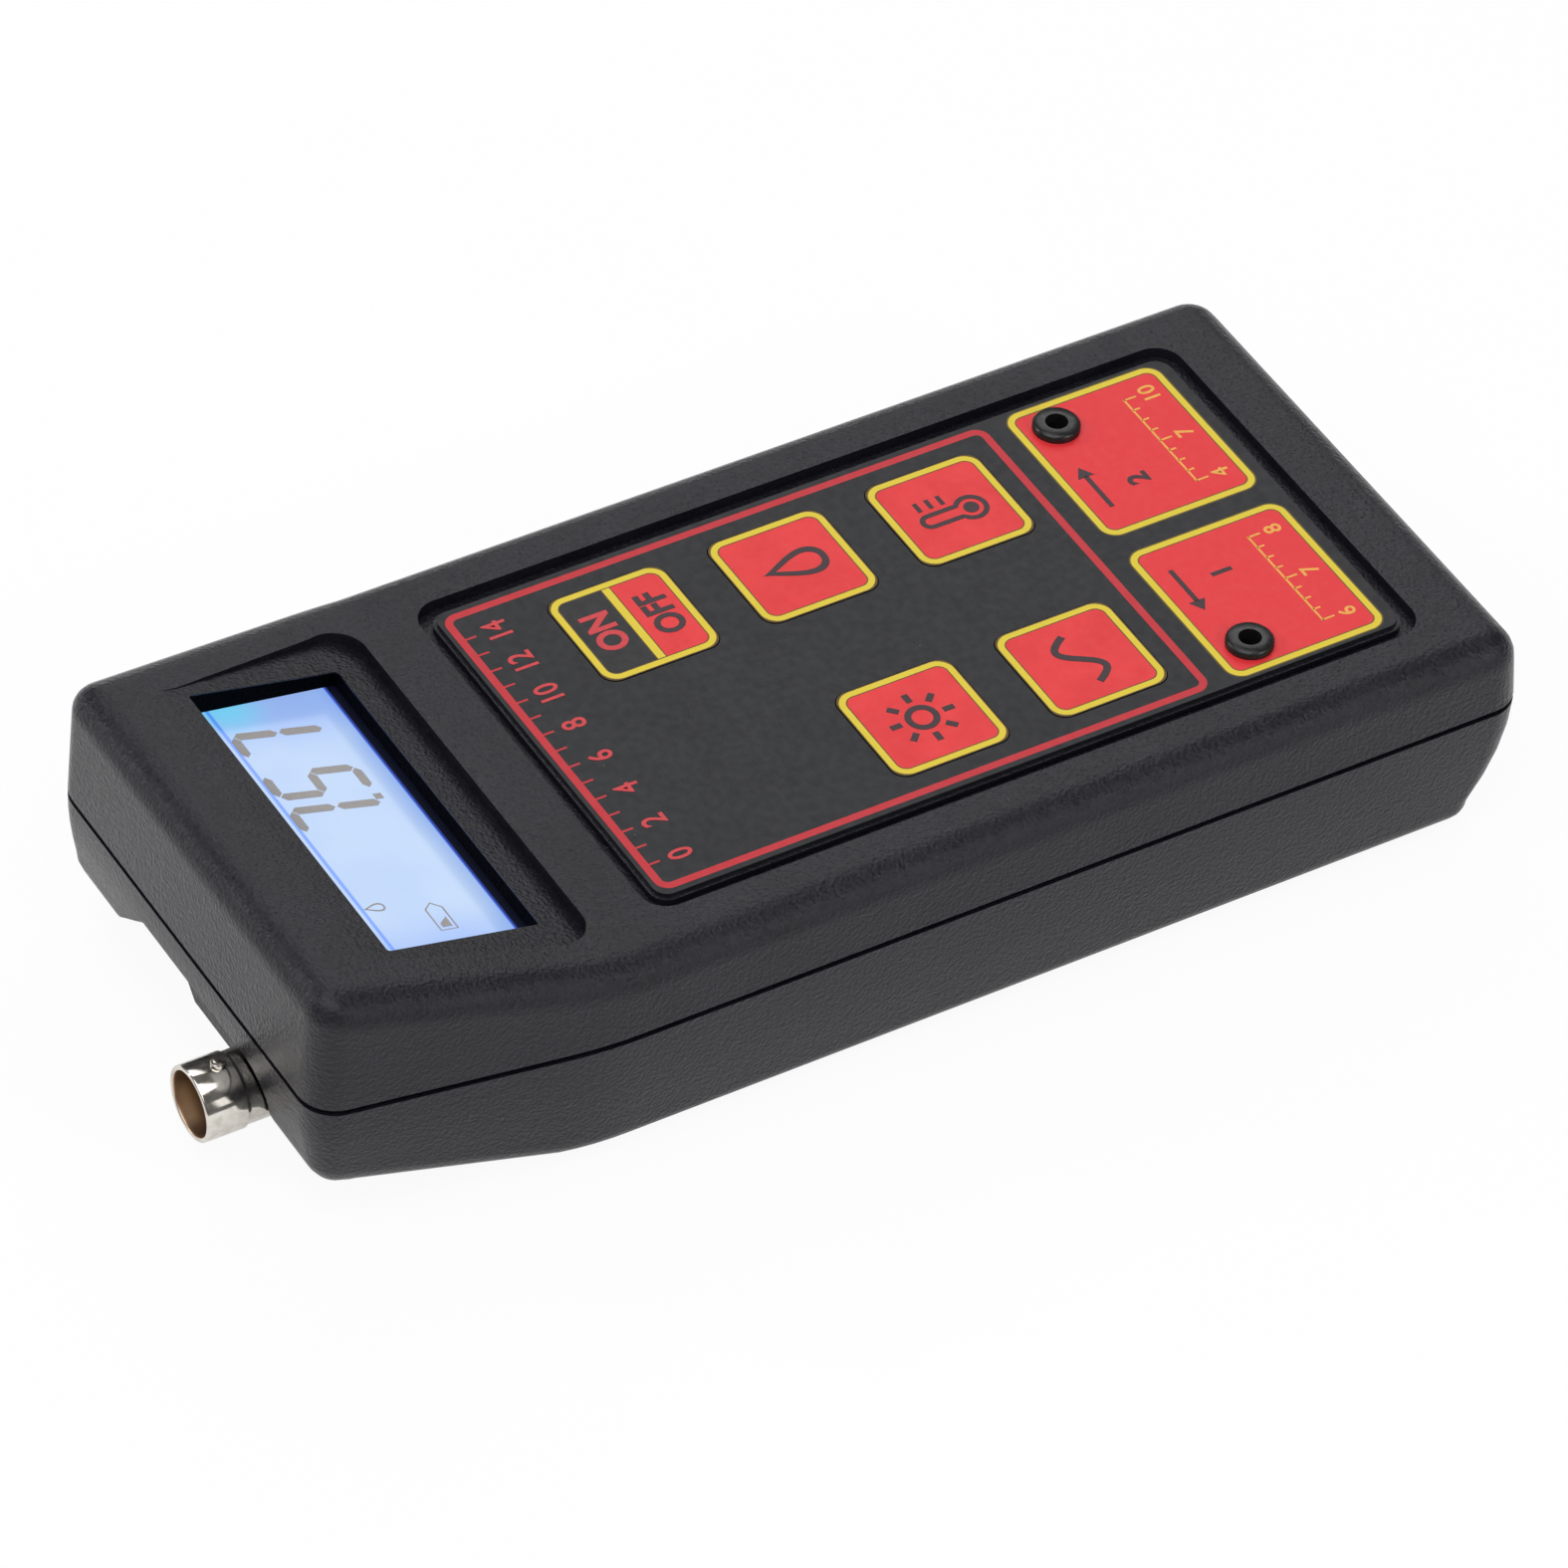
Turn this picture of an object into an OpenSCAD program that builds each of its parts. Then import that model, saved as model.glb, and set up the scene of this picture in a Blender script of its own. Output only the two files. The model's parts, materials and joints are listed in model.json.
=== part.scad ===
// Handheld pH tester lying on its back: two moulded case halves, a display head that
// tapers and rises, five keys, two calibration trimmers, a bayonet probe socket and a
// battery bay closed by a sliding door. Millimetres, +X across, +Y towards the display.

/* [Case outline] */
// Length of the case, without the probe socket
case_l = 164.6; // [158:0.1:176]
// Width of the case along the keypad
case_w = 75.7; // [75:0.1:84]
// Length of the display head, where the sides taper
taper_l = 35.7; // [32:0.1:40]
// Angle at which each side tapers towards the display end
taper_deg = 9; // [7:0.1:10]
// Corner radius in plan
corner_r = 4.8; // [4.7:0.1:6]
// Radius of the gentle bend in each long side
side_bend_r = 60; // [40:1:90]

/* [Case section] */
// Height of the parting plane above the back
seam_z = 18.6; // [18.4:0.1:20]
// Height of the keypad face above the back
face_z = 28.7; // [28.5:0.1:30]
// Length of the rising part of the face
rise_l = 38.3; // [37:0.1:39.3]
// Rise of the face at the display end
rise_deg = 10.3; // [8:0.1:11]
// Fillet round the edge of the face
face_fillet = 4.2; // [3:0.1:4.6]
// Fillet round the edge of the back
back_fillet = 3.4; // [2.5:0.1:3.6]
// How much that fillet grows towards the display end
head_round = 1.6; // [0:0.1:2]
// Length of the part of the back that lifts off the table
lift_l = 30.3; // [27:0.1:32]
// Lift of the back under the display head
lift_deg = 8; // [5:0.1:9]
// How far the heel of the back is drawn in
heel_in = 4; // [2:0.1:5]
// Wall of the mouldings
wall = 2.2; // [1.8:0.1:2.4]
// Thickness of the face above the cavity
face_t = 3.4; // [3.2:0.1:3.6]
// Height of the dark groove along the parting line
seam_gap = 0.8; // [0.4:0.05:1]
// Depth of that groove
seam_groove = 1.1; // [0.8:0.05:1.2]

/* [Keypad] */
// Width of the sunk keypad field
field_w = 59.4; // [58:0.1:61]
// Length of the sunk keypad field
field_l = 108; // [106:0.1:109]
// Distance from the heel of the case to the field
field_in = 10.5; // [9.3:0.1:11.3]
// Depth of the groove round the raised pad
field_depth = 1.5; // [1.2:0.05:1.8]
// Width of the groove round the raised pad
field_groove = 1.7; // [1.2:0.1:2]
// Corner radius of the field
field_r = 3.6; // [2.5:0.1:5]
// Thickness of the keypad overlay
overlay_t = 0.5; // [0.4:0.05:0.7]
// Side of a square key
key_s = 16.1; // [14:0.1:17]
// Corner radius of a key
key_r = 2; // [1:0.1:3]
// Distance between key rows
key_pitch = 22.25; // [19:0.05:23]
// Distance from the centre line to a key column
key_x = 15.2; // [13:0.1:16]
// Distance from the heel of the case to the centres of the lowest keys
key_in = 50.9; // [49.3:0.1:52.3]
// Travel of a key
key_travel = 0.3; // [0.2:0.05:0.4]
// Diameter of the stem under a key
key_stem_d = 4; // [3:0.1:5]

/* [Display] */
// Tilt of the display recess
facet_deg = 13.2; // [12:0.1:14]
// Distance from the display end to the lower edge of the window
window_in = 33.8; // [32.3:0.1:34.8]
// Width of the window
window_w = 49; // [44:0.1:50]
// Height of the window along its tilt
window_h = 20.8; // [18:0.1:22]
// Depth of the display glass below the recess
glass_depth = 3.3; // [3:0.1:3.6]
// Width left between the recess and the side of the head
facet_margin = 7.6; // [7:0.1:9]
// Width of the display glass
glass_w = 53; // [52:0.1:54]
// Height of the display glass
glass_h = 27; // [25:0.1:28]
// Thickness of the display glass
glass_t = 2.2; // [1.6:0.1:2.6]
// Thickness of the light panel
light_t = 3; // [2:0.1:3.4]

/* [Probe socket] */
// Height of the socket axis above the back
socket_z = 8.5; // [8.4:0.1:9]
// Distance from the centre line to the socket axis
socket_x = 14.3; // [13:0.1:15]
// Outer diameter of the socket barrel
barrel_d = 9.65; // [9.4:0.05:9.8]
// Length of the barrel in front of its wall
barrel_l = 10.8; // [10:0.1:12]
// Depth of the socket bay
bay_depth = 4; // [3.5:0.1:5]
// Height of the bay roof above the socket axis
bay_rise = 5.05; // [5:0.05:5.6]

/* [Calibration trimmers] */
// Distance from the centre line to a trimmer
trim_x = 22.2; // [21.5:0.1:22.6]
// Distance from the heel of the case to the trimmers
trim_in = 31.3; // [29.3:0.1:32.3]
// Outer diameter of the rubber bush
bush_d = 6; // [5:0.1:7]
// Diameter of the screwdriver hole
bush_hole_d = 2.9; // [2.8:0.1:3.4]
// Height of the bush above the overlay
bush_h = 1.1; // [0.6:0.1:1.6]

/* [Battery] */
// Width of the battery
battery_w = 26.2; // [25.5:0.1:26.5]
// Length of the battery
battery_l = 48; // [47:0.1:49]
// Thickness of the battery
battery_t = 17; // [16.5:0.1:17.2]
// Width of the battery door
door_w = 32; // [31:0.1:34]
// Thickness of the battery door
door_t = 1.6; // [1.4:0.1:1.8]

/* [Circuit board] */
// Thickness of the boards
board_t = 1.6; // [1.2:0.1:1.6]
// Gap between the board and the underside of the face
board_drop = 4; // [3.9:0.1:4.1]
// Gap between the main board and the screw posts beside it
board_side = 0.45; // [0.3:0.05:0.9]

/* [Hidden] */

case_black = "#3a3a3d";
half_l = case_l / 2;
half_w = case_w / 2;
taper_y = half_l - taper_l;
rise_y = half_l - rise_l;
lift_y = half_l - lift_l;
window_y0 = half_l - window_in;
field_y0 = field_in - half_l;
key_y0 = key_in - half_l;
trim_y = trim_in - half_l;
side_draft = 0.5;
back_draft = 1.0;
run_gap = 0.08;
slip = 0.2;
cut = 1;
fine = 64;

// Number of steps used on each arc of the shell surfaces
corner_steps = 7;
bend_steps = 4;
fillet_steps = 6;
bulge_steps = 4;
heel_l = 42.3;
heel_y = heel_l - half_l;

// Plan outline of the case at an inset d: point k runs from the heel round one side to
// the display end and back along the other side
corner_min = 0.5;
side_bend_cx = half_w - side_bend_r;
side_bend_cy = taper_y - side_bend_r * tan(taper_deg / 2);
side_count = 2 * corner_steps + bend_steps + 3;
ring_count = 2 * side_count;
ring = [0:ring_count - 1];
function corner_at(d) = max(corner_r - d, corner_min);
function head_cx(d, r) = (half_w * cos(taper_deg) + taper_y * sin(taper_deg) - d - r
    - (half_l - d - r) * sin(taper_deg)) / cos(taper_deg);
function around(cx, cy, r, a) = [cx + r * cos(a), cy + r * sin(a)];
function heel_corner(k, d, r) =
    around(half_w - d - r, d + r - half_l, r, 90 * k / corner_steps - 90);
function side_bend(k, d) =
    around(side_bend_cx, side_bend_cy, side_bend_r - d, taper_deg * k / bend_steps);
function head_corner(k, d, r) = around(head_cx(d, r), half_l - d - r, r,
    taper_deg + (90 - taper_deg) * k / corner_steps);
function right_spot(k, d) =
    k <= corner_steps ? heel_corner(k, d, corner_at(d))
    : k <= corner_steps + bend_steps + 1 ? side_bend(k - corner_steps - 1, d)
    : head_corner(k - corner_steps - bend_steps - 2, d, corner_at(d));
function spot(k, d) =
    k < side_count ? right_spot(k, d)
    : let (q = right_spot(ring_count - 1 - k, d)) [-q[0], q[1]];

// Height of the face and of the back at a distance y from mid-length, with soft bends
bend_soft = 8;
function soft_ramp(t, s) = t <= -s ? 0 : t >= s ? t : (t + s) * (t + s) / (4 * s);
function face_at(y) = face_z + tan(rise_deg) * soft_ramp(y - rise_y, bend_soft);
function back_at(y) = tan(lift_deg) * soft_ramp(y - lift_y, bend_soft);
function heel_at(y) = max(0, min(1, (heel_y - y) / (half_l + heel_y)));
head_full_y = half_l - corner_r;
function round_at(y) = back_fillet
    + head_round * max(0, min(1, (y - lift_y) / (head_full_y - lift_y)));

// One ring of the front or back surface; the heel shift e draws the heel in
function heel_spot(k, d, e) = let (q = spot(k, d)) [q[0], q[1] + e * heel_at(q[1])];
function face_ring(d, drop) =
    [for (k = ring) let (q = spot(k, d)) [q[0], q[1], face_at(q[1]) - drop]];
function back_fillet_ring(a, t, up) =
    [for (k = ring)
        let (r = round_at(spot(k, 0)[1]) - 0.6 * t)
        let (q = heel_spot(k, t + back_draft + r * (1 - sin(a)), heel_in))
        [q[0], q[1], back_at(q[1]) + up + r * (1 - cos(a))]];
function back_wall_ring(f, t, up, top_z) =
    [for (k = ring)
        let (r = round_at(spot(k, 0)[1]) - 0.6 * t)
        let (q = heel_spot(k, t + back_draft * f * f, heel_in * f * f))
        [q[0], q[1], top_z + f * (back_at(q[1]) + up + r - top_z)]];
function flat_ring(d, z) = [for (k = ring) let (q = spot(k, d)) [q[0], q[1], z]];
function fillet_rings(n) = [for (i = [0:n]) 90 * i / n];

// Faces of a stack of rings, closed at both ends by strips from side to side
function wall_faces(levels) =
    [for (j = [0:levels - 2], i = [0:ring_count - 1])
        let (k = (i + 1) % ring_count, a = j * ring_count, b = a + ring_count)
        [a + i, b + i, b + k, a + k]];
function cap_faces(base, up) =
    [for (i = [0:side_count - 2])
        let (p = base + i, q = base + ring_count - 1 - i)
        up ? [p, q, q - 1, p + 1] : [p, p + 1, q - 1, q]];
module stack(rings) {
    levels = len(rings);
    polyhedron(
        points = [for (level = rings, p = level) p],
        faces = concat(wall_faces(levels), cap_faces(0, false),
            cap_faces((levels - 1) * ring_count, true)),
        convexity = 6);
}

// Solid inside the front surface, inset by t with the face lowered by top
module front_form(t, top, base_z) {
    r = face_fillet - 0.6 * t;
    stack(concat(
        [flat_ring(t, base_z)],
        [for (a = fillet_rings(fillet_steps))
            face_ring(t + side_draft + r * (1 - cos(a)), top + r * (1 - sin(a)))]));
}

// Solid inside the back surface, inset by t with the floor raised by up; its walls
// leave the parting line upright and curve in towards the fillet
module back_form(t, up, top_z) {
    stack(concat(
        [for (a = fillet_rings(fillet_steps)) back_fillet_ring(a, t, up)],
        [for (i = [bulge_steps - 1:-1:0]) back_wall_ring(i / bulge_steps, t, up, top_z)]));
}

// Flat outline of the case inset by d
module outline_shape(d) {
    polygon([for (k = ring) spot(k, d)]);
}

// Rectangle with round corners, centred on the origin
module round_rect(w, h, r) {
    union() {
        square([w - 2 * r, h], center = true);
        square([w, h - 2 * r], center = true);
        for (sx = [-1, 1], sy = [-1, 1])
            translate([sx * (w / 2 - r), sy * (h / 2 - r)]) circle(r = r, $fn = fine);
    }
}

module plate(w, h, r, z0, z1) {
    translate([0, 0, z0]) linear_extrude(height = z1 - z0) round_rect(w, h, r);
}

module rod(d, z0, z1) {
    translate([0, 0, z0]) cylinder(d = d, h = z1 - z0, $fn = fine);
}

module block(x0, x1, y0, y1, z0, z1) {
    translate([x0, y0, z0]) cube([x1 - x0, y1 - y0, z1 - z0]);
}

// Heights that stack up under the keypad face
ceiling_z = face_z - face_t;
groove_z = face_z - field_depth;
overlay_top = face_z - 0.1;
pad_z = overlay_top - overlay_t;
board_top = ceiling_z - board_drop;
board_z = board_top - board_t;
field_yc = field_y0 + field_l / 2;
pad_w = field_w - 2 * field_groove;
pad_l = field_l - 2 * field_groove;
overlay_edge = 0.5;
bush_shank_d = bush_hole_d + 2;

// Keys: a printed plate in the overlay, a stem through the face and a switch below
key_proud = 0.1;
key_t = 0.6;
key_top = overlay_top + key_proud;
key_base = key_top - key_t;
key_gap = 0.15;
pocket_z = key_base - key_travel - 0.1;
switch_s = 6;
switch_h = 3.4;
button_d = 3.5;
button_top = ceiling_z + 0.4;
button_seat = board_top + 1.6;
key_spots = [
    [key_x, key_y0 + 2 * key_pitch], [key_x, key_y0 + key_pitch], [key_x, key_y0],
    [-key_x, key_y0], [-key_x, key_y0 + key_pitch]];

// Display recess: its own plane, tilted about the lower edge of the window
facet_z0 = face_z - 0.42;
facet_y0 = rise_y - 0.2;
facet_top_y = half_l - 10.5;
facet_half = half_w - facet_margin;
module on_facet() {
    translate([0, window_y0, facet_z0]) rotate([facet_deg, 0, 0]) children();
}
window_yc = window_h / 2;
glass_yc = window_yc + 0.4;
light_z = -glass_depth - glass_t;
display_board_z = light_z - light_t;
holder_rim = 1.5;
holder_w = glass_w + 2 * holder_rim;
holder_h = glass_h + 2 * holder_rim;
display_post_d = 4.4;
display_post_x = holder_w / 2 + display_post_d / 2 + 2 * slip;
display_post_y = glass_yc;
display_screw_d = 2;
display_screw_l = 3.4;
display_head_d = 3.6;
display_head_h = 1.2;

// Screw posts
case_post_in = 7.4;
case_post_x = half_w - case_post_in;
heel_post = 18.3;
head_post = 44.3;
case_post_ys = [heel_post - half_l, half_l - head_post];
case_post_d = 7;
case_screw_d = 2.9;
case_head_d = 5.4;
case_head_h = 2;
case_head_z = 6;
case_screw_top = ceiling_z - 1.2;
board_w = 2 * (case_post_x - case_post_d / 2 - board_side);
board_heel = 17.8;
board_head = 42.3;
board_y0 = board_heel - half_l;
board_y1 = half_l - board_head;
board_post_in = 3;
board_post_x = board_w / 2 - board_post_in;
board_post_ys = [board_y0 + 4.5, board_y1 - 8];
board_post_d = 5;
board_screw_d = 2.2;
board_head_d = 4.2;
board_head_h = 1.3;
rest_in = 11.85;
rest_end = 7.5;
rest_x = half_w - rest_in;
rest_y = half_l - rest_end;
rest_r = 3.2;
rest_flat = 0.35;

// Battery bay
bay_slack = 0.6;
tub_w = battery_w + 2 * bay_slack;
tub_t = 1.5;
battery_z = door_t + 0.25;
battery_in = 12.8;
battery_y0 = battery_in - half_l;
snap_l = 7;
tub_y0 = battery_y0 - bay_slack;
tub_y1 = battery_y0 + battery_l + snap_l + bay_slack + 1.2;
tub_top = board_z - 0.4;
door_front = tub_y1;
rail_in = 1.4;
rail_t = 0.7;
door_rail_z = door_t - rail_t;

// Socket bay: round over the probe socket, sloping away at the other end, and deeper
// where the small jack sits
bay_wall_y = half_l - bay_depth;
bay_top = socket_z + bay_rise;
bay_far_x = 10.6;
bay_far_deg = 38;
pad_x = 7;
pad_chamfer = 3.6;
pad_low_z = 3.2;
jack_pocket = 3;
jack_wall_y = bay_wall_y - jack_pocket;
shank_d = 6.4;
nut_af = 7.4;
nut_t = 1.8;
washer_t = 0.4;
flange_t = 0.9;
flange_d = 2 * bay_rise - slip;
rim_y = bay_wall_y + barrel_l;
jack_x = 11.6;
jack_z = 7.6;
jack_d = 5.9;
jack_rear_d = 6.7;
jack_rear_l = 8;
jack_out = 1.6;
jack_bore_d = 3.6;
jack_nut_d = 7;
jack_nut_t = 1.5;
deep = 20;
bay_roof_t = 1.4;

module end_axis(x, z) {
    translate([x, 0, z]) rotate([-90, 0, 0]) children();
}
module socket_axis() {
    end_axis(-socket_x, socket_z) children();
}
module jack_axis() {
    end_axis(jack_x, jack_z) children();
}

// Profile of the socket bay in the end wall, drawn in X and Z
module bay_profile() {
    translate([-socket_x, socket_z]) circle(r = bay_rise, $fn = fine);
    translate([-socket_x - bay_rise, -deep]) square([bay_rise, socket_z + deep]);
    far_drop = bay_top + deep;
    polygon([
        [-socket_x, -deep], [-socket_x, bay_top], [bay_far_x, bay_top],
        [bay_far_x + far_drop / tan(bay_far_deg), -deep]]);
}
module jack_profile() {
    intersection() {
        bay_profile();
        polygon([
            [pad_x - pad_chamfer, -deep], [pad_x - pad_chamfer, pad_low_z],
            [pad_x, pad_low_z + pad_chamfer], [pad_x, bay_top], [half_w, bay_top],
            [half_w, -deep]]);
    }
}
module through_end(y0, y1) {
    translate([0, y1, 0]) rotate([90, 0, 0]) linear_extrude(height = y1 - y0) children();
}
module bay_cut() {
    through_end(bay_wall_y, half_l + cut) bay_profile();
    through_end(jack_wall_y, bay_wall_y + cut) jack_profile();
}

// Front half: a rounded lid with a sunk keypad field and a tilted display recess
module facet_shape() {
    y0 = facet_y0;
    y1 = facet_top_y;
    x0 = facet_half - (y0 - taper_y + 4) * tan(taper_deg);
    x1 = facet_half - (y1 - taper_y + 4) * tan(taper_deg);
    r = 4;
    for (s = [-1, 1]) translate([s * (x0 - r), y0 + r]) circle(r = r, $fn = fine);
    polygon([[-x0 + r, y0], [x0 - r, y0], [x0 - r, y1], [-x0 + r, y1]]);
    polygon([[-x0, y0 + r], [x0, y0 + r], [x1, y1], [-x1, y1]]);
}

module facet_cut() {
    intersection() {
        translate([0, 0, seam_z]) linear_extrude(height = 40) facet_shape();
        on_facet() block(-half_w, half_w, -20, 60, 0, 30);
    }
}

module front_shell_solid() {
    difference() {
        front_form(0, 0, seam_z);
        difference() {
            front_form(wall, face_t, seam_z - cut);
            for (sx = [-1, 1], y = case_post_ys)
                translate([sx * case_post_x, y]) rod(case_post_d, seam_z - 2, face_z);
            for (sx = [-1, 1], y = board_post_ys)
                translate([sx * board_post_x, y]) rod(board_post_d, board_top, face_z);
            for (sx = [-1, 1]) on_facet() translate([sx * display_post_x, display_post_y])
                rod(display_post_d, display_board_z, 0);
        }
    }
}

module front_shell() {
    color(case_black) difference() {
        front_shell_solid();
        // Groove along the parting line
        translate([0, 0, seam_z - cut]) linear_extrude(height = seam_gap / 2 + cut)
            difference() {
                outline_shape(-cut);
                outline_shape(seam_groove);
            }
        // Sunk field round the raised pad
        translate([0, field_yc, 0]) difference() {
            plate(field_w, field_l, field_r, groove_z, face_z + cut);
            plate(pad_w, pad_l, field_r - field_groove + 0.4, groove_z - cut, pad_z);
        }
        // Pockets and stem holes under the keys
        for (p = key_spots) translate(p) {
            plate(key_s + 2 * key_gap, key_s + 2 * key_gap, key_r + key_gap, pocket_z, face_z);
            rod(key_stem_d + 2 * run_gap, ceiling_z - cut, face_z);
        }
        // Holes for the trimmer bushes
        for (sx = [-1, 1]) translate([sx * trim_x, trim_y])
            rod(bush_shank_d, ceiling_z - cut, face_z);
        facet_cut();
        // Display window and the seat of its glass
        on_facet() translate([0, window_yc])
            plate(window_w, window_h, 0.4, -20, 5);
        on_facet() translate([0, glass_yc, 0])
            plate(holder_w + 2 * slip, holder_h + 2 * slip, 0.5, -20, -glass_depth);
        // Blind holes for the screws
        for (sx = [-1, 1], y = case_post_ys)
            translate([sx * case_post_x, y]) rod(case_screw_d, seam_z - cut, case_screw_top);
        for (sx = [-1, 1], y = board_post_ys)
            translate([sx * board_post_x, y]) rod(board_screw_d, board_top - cut, ceiling_z + 1);
        for (sx = [-1, 1]) on_facet() translate([sx * display_post_x, display_post_y])
            rod(display_screw_d, display_board_z - cut, display_board_z + 4);
    }
}

// Back half: a shallow tray with the battery bay, the socket bay and the screw posts
module back_shell_solid() {
    difference() {
        back_form(0, 0, seam_z);
        difference() {
            back_form(wall, wall, seam_z + cut);
            for (sx = [-1, 1], y = case_post_ys)
                translate([sx * case_post_x, y]) rod(case_post_d, 0, seam_z);
            // Walls of the battery bay and the shelf that carries the door rails
            block(-tub_w / 2 - tub_t, tub_w / 2 + tub_t, tub_y0 - tub_t, tub_y1 + tub_t,
                0, tub_top);
            block(-door_w / 2 - rail_in - 2, door_w / 2 + rail_in + 2,
                -half_l, tub_y1 + tub_t, 0, door_t + 1.4);
            // Wall and roof of the socket bay
            block(-half_w, half_w, bay_wall_y - wall, half_l, 0, bay_top + bay_roof_t);
            block(pad_x - pad_chamfer - wall, half_w, jack_wall_y - wall, half_l,
                0, bay_top + bay_roof_t);
        }
    }
}

module door_way(extra) {
    block(-door_w / 2 - extra, door_w / 2 + extra,
        -half_l - 4, door_front + extra, -1, door_t + extra / 2);
    block(-door_w / 2 - rail_in - extra, door_w / 2 + rail_in + extra,
        -half_l - 4, door_front + extra, door_rail_z - extra / 2, door_t + extra / 2);
}

module back_shell() {
    color(case_black) difference() {
        union() {
            back_shell_solid();
            // Low domed rests moulded at the head corners
            for (sx = [-1, 1])
                translate([sx * rest_x, rest_y, back_at(rest_y)])
                    scale([1, 1, rest_flat]) sphere(r = rest_r, $fn = 40);
        }
        // Groove along the parting line
        translate([0, 0, seam_z - seam_gap / 2]) linear_extrude(height = seam_gap / 2 + cut)
            difference() {
                outline_shape(-cut);
                outline_shape(seam_groove);
            }
        // Battery bay, open to the back
        block(-tub_w / 2, tub_w / 2, tub_y0, tub_y1, -cut, tub_top + cut);
        door_way(slip);
        // Socket bay and the two holes in its wall
        bay_cut();
        socket_axis() rod(shank_d + 2 * run_gap, bay_wall_y - wall - cut, half_l);
        jack_axis() rod(jack_d + 2 * run_gap, jack_wall_y - wall - cut, half_l);
        // Room for the socket nut and the jack over the floor
        block(-socket_x - nut_af / sqrt(3) - slip, nut_af / sqrt(3) + slip - socket_x,
            bay_wall_y - wall - 9, bay_wall_y - wall,
            socket_z - nut_af / 2 - slip, socket_z);
        jack_axis() rod(jack_rear_d + 3 * slip, jack_wall_y - wall - 9, jack_wall_y - wall);
        // Stepped screw holes
        for (sx = [-1, 1], y = case_post_ys) translate([sx * case_post_x, y]) {
            rod(case_head_d + 2 * slip, -cut, case_head_z + case_head_h);
            rod(case_screw_d + 2 * run_gap, -cut, seam_z + cut);
        }
    }
}

// Door that slides off the battery bay; its end follows the heel of the back
grip_count = 5;
module battery_door() {
    color(case_black) difference() {
        intersection() {
            back_form(0, 0, seam_z);
            union() {
                block(-door_w / 2, door_w / 2, -half_l, door_front, 0, door_t);
                block(-door_w / 2 - rail_in, door_w / 2 + rail_in, -half_l, door_front,
                    door_rail_z, door_t);
            }
        }
        // Finger grooves
        for (i = [0:grip_count - 1])
            block(-9 + i * 0.9, 9 - i * 0.9, door_front - 16 + i * 2.4,
                door_front - 15 + i * 2.4, -cut, 0.5);
    }
}

// Keypad overlay: a printed sheet with square holes for the keys
module keypad_overlay() {
    color("#434347") difference() {
        translate([0, field_yc, 0])
            plate(pad_w - 2 * overlay_edge, pad_l - 2 * overlay_edge, 1.9, pad_z, overlay_top);
        for (p = key_spots) translate(p)
            plate(key_s + 2 * key_gap, key_s + 2 * key_gap, key_r + key_gap,
                pad_z - cut, overlay_top + cut);
        for (sx = [-1, 1]) translate([sx * trim_x, trim_y])
            rod(bush_shank_d, pad_z - cut, overlay_top + cut);
    }
}

module key(i) {
    color("#e4424a") translate(key_spots[i]) {
        plate(key_s, key_s, key_r, key_base, key_top);
        rod(key_stem_d, button_top, key_base + 0.1);
    }
}
module key_on_off() { key(0); }
module key_ph() { key(1); }
module key_celsius() { key(2); }
module key_millivolt() { key(3); }
module key_light() { key(4); }

// Button of a push switch: a round cap on a flat foot that stays inside the body
module switch_button(i) {
    color("#2b2b2b") translate(key_spots[i]) {
        rod(button_d, button_seat, button_top);
        rod(button_d + 0.8, button_seat, button_seat + 0.6);
    }
}
module switch_button_on_off() { switch_button(0); }
module switch_button_ph() { switch_button(1); }
module switch_button_celsius() { switch_button(2); }
module switch_button_millivolt() { switch_button(3); }
module switch_button_light() { switch_button(4); }

module switch_bodies() {
    color("#55565a") for (p = key_spots) translate(p) difference() {
        plate(switch_s, switch_s, 0.6, board_top, board_top + switch_h);
        rod(button_d + 2 * run_gap, board_top + 0.8, board_top + switch_h + cut);
        rod(button_d + 1, board_top + 0.8, button_seat + 0.7);
    }
}

// Rubber bush that lines a screwdriver hole
module bush(x) {
    color("#303033") translate([x, trim_y, 0]) rotate_extrude($fn = fine)
        polygon([
            [bush_hole_d / 2, ceiling_z], [bush_shank_d / 2, ceiling_z],
            [bush_shank_d / 2, overlay_top], [bush_d / 2, overlay_top],
            [bush_d / 2, overlay_top + bush_h - 0.35],
            [bush_d / 2 - 0.35, overlay_top + bush_h],
            [bush_hole_d / 2, overlay_top + bush_h]]);
}
module slope_bush() { bush(trim_x); }
module standard_bush() { bush(-trim_x); }

// Trimmer: a square blue body with a slotted brass screw that turns in it
trimmer_s = 6.6;
trimmer_top = ceiling_z - 1;
rotor_d = 2.3;
rotor_l = 2;
rotor_slot = 0.6;
module trimmer_body(x) {
    color("#2f62b5") translate([x, trim_y, 0]) difference() {
        plate(trimmer_s, trimmer_s, 0.3, board_top, trimmer_top);
        rod(rotor_d + 2 * run_gap, trimmer_top - rotor_l, trimmer_top + cut);
    }
}
module trimmer_screw(x) {
    color("#c8a24a") translate([x, trim_y, 0]) difference() {
        rod(rotor_d, trimmer_top - rotor_l, trimmer_top - 0.1);
        block(-rotor_d, rotor_d, -rotor_slot / 2, rotor_slot / 2,
            trimmer_top - 0.8, trimmer_top + cut);
    }
}
module slope_trimmer_body() { trimmer_body(trim_x); }
module standard_trimmer_body() { trimmer_body(-trim_x); }
module slope_trimmer_screw() { trimmer_screw(trim_x); }
module standard_trimmer_screw() { trimmer_screw(-trim_x); }

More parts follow.
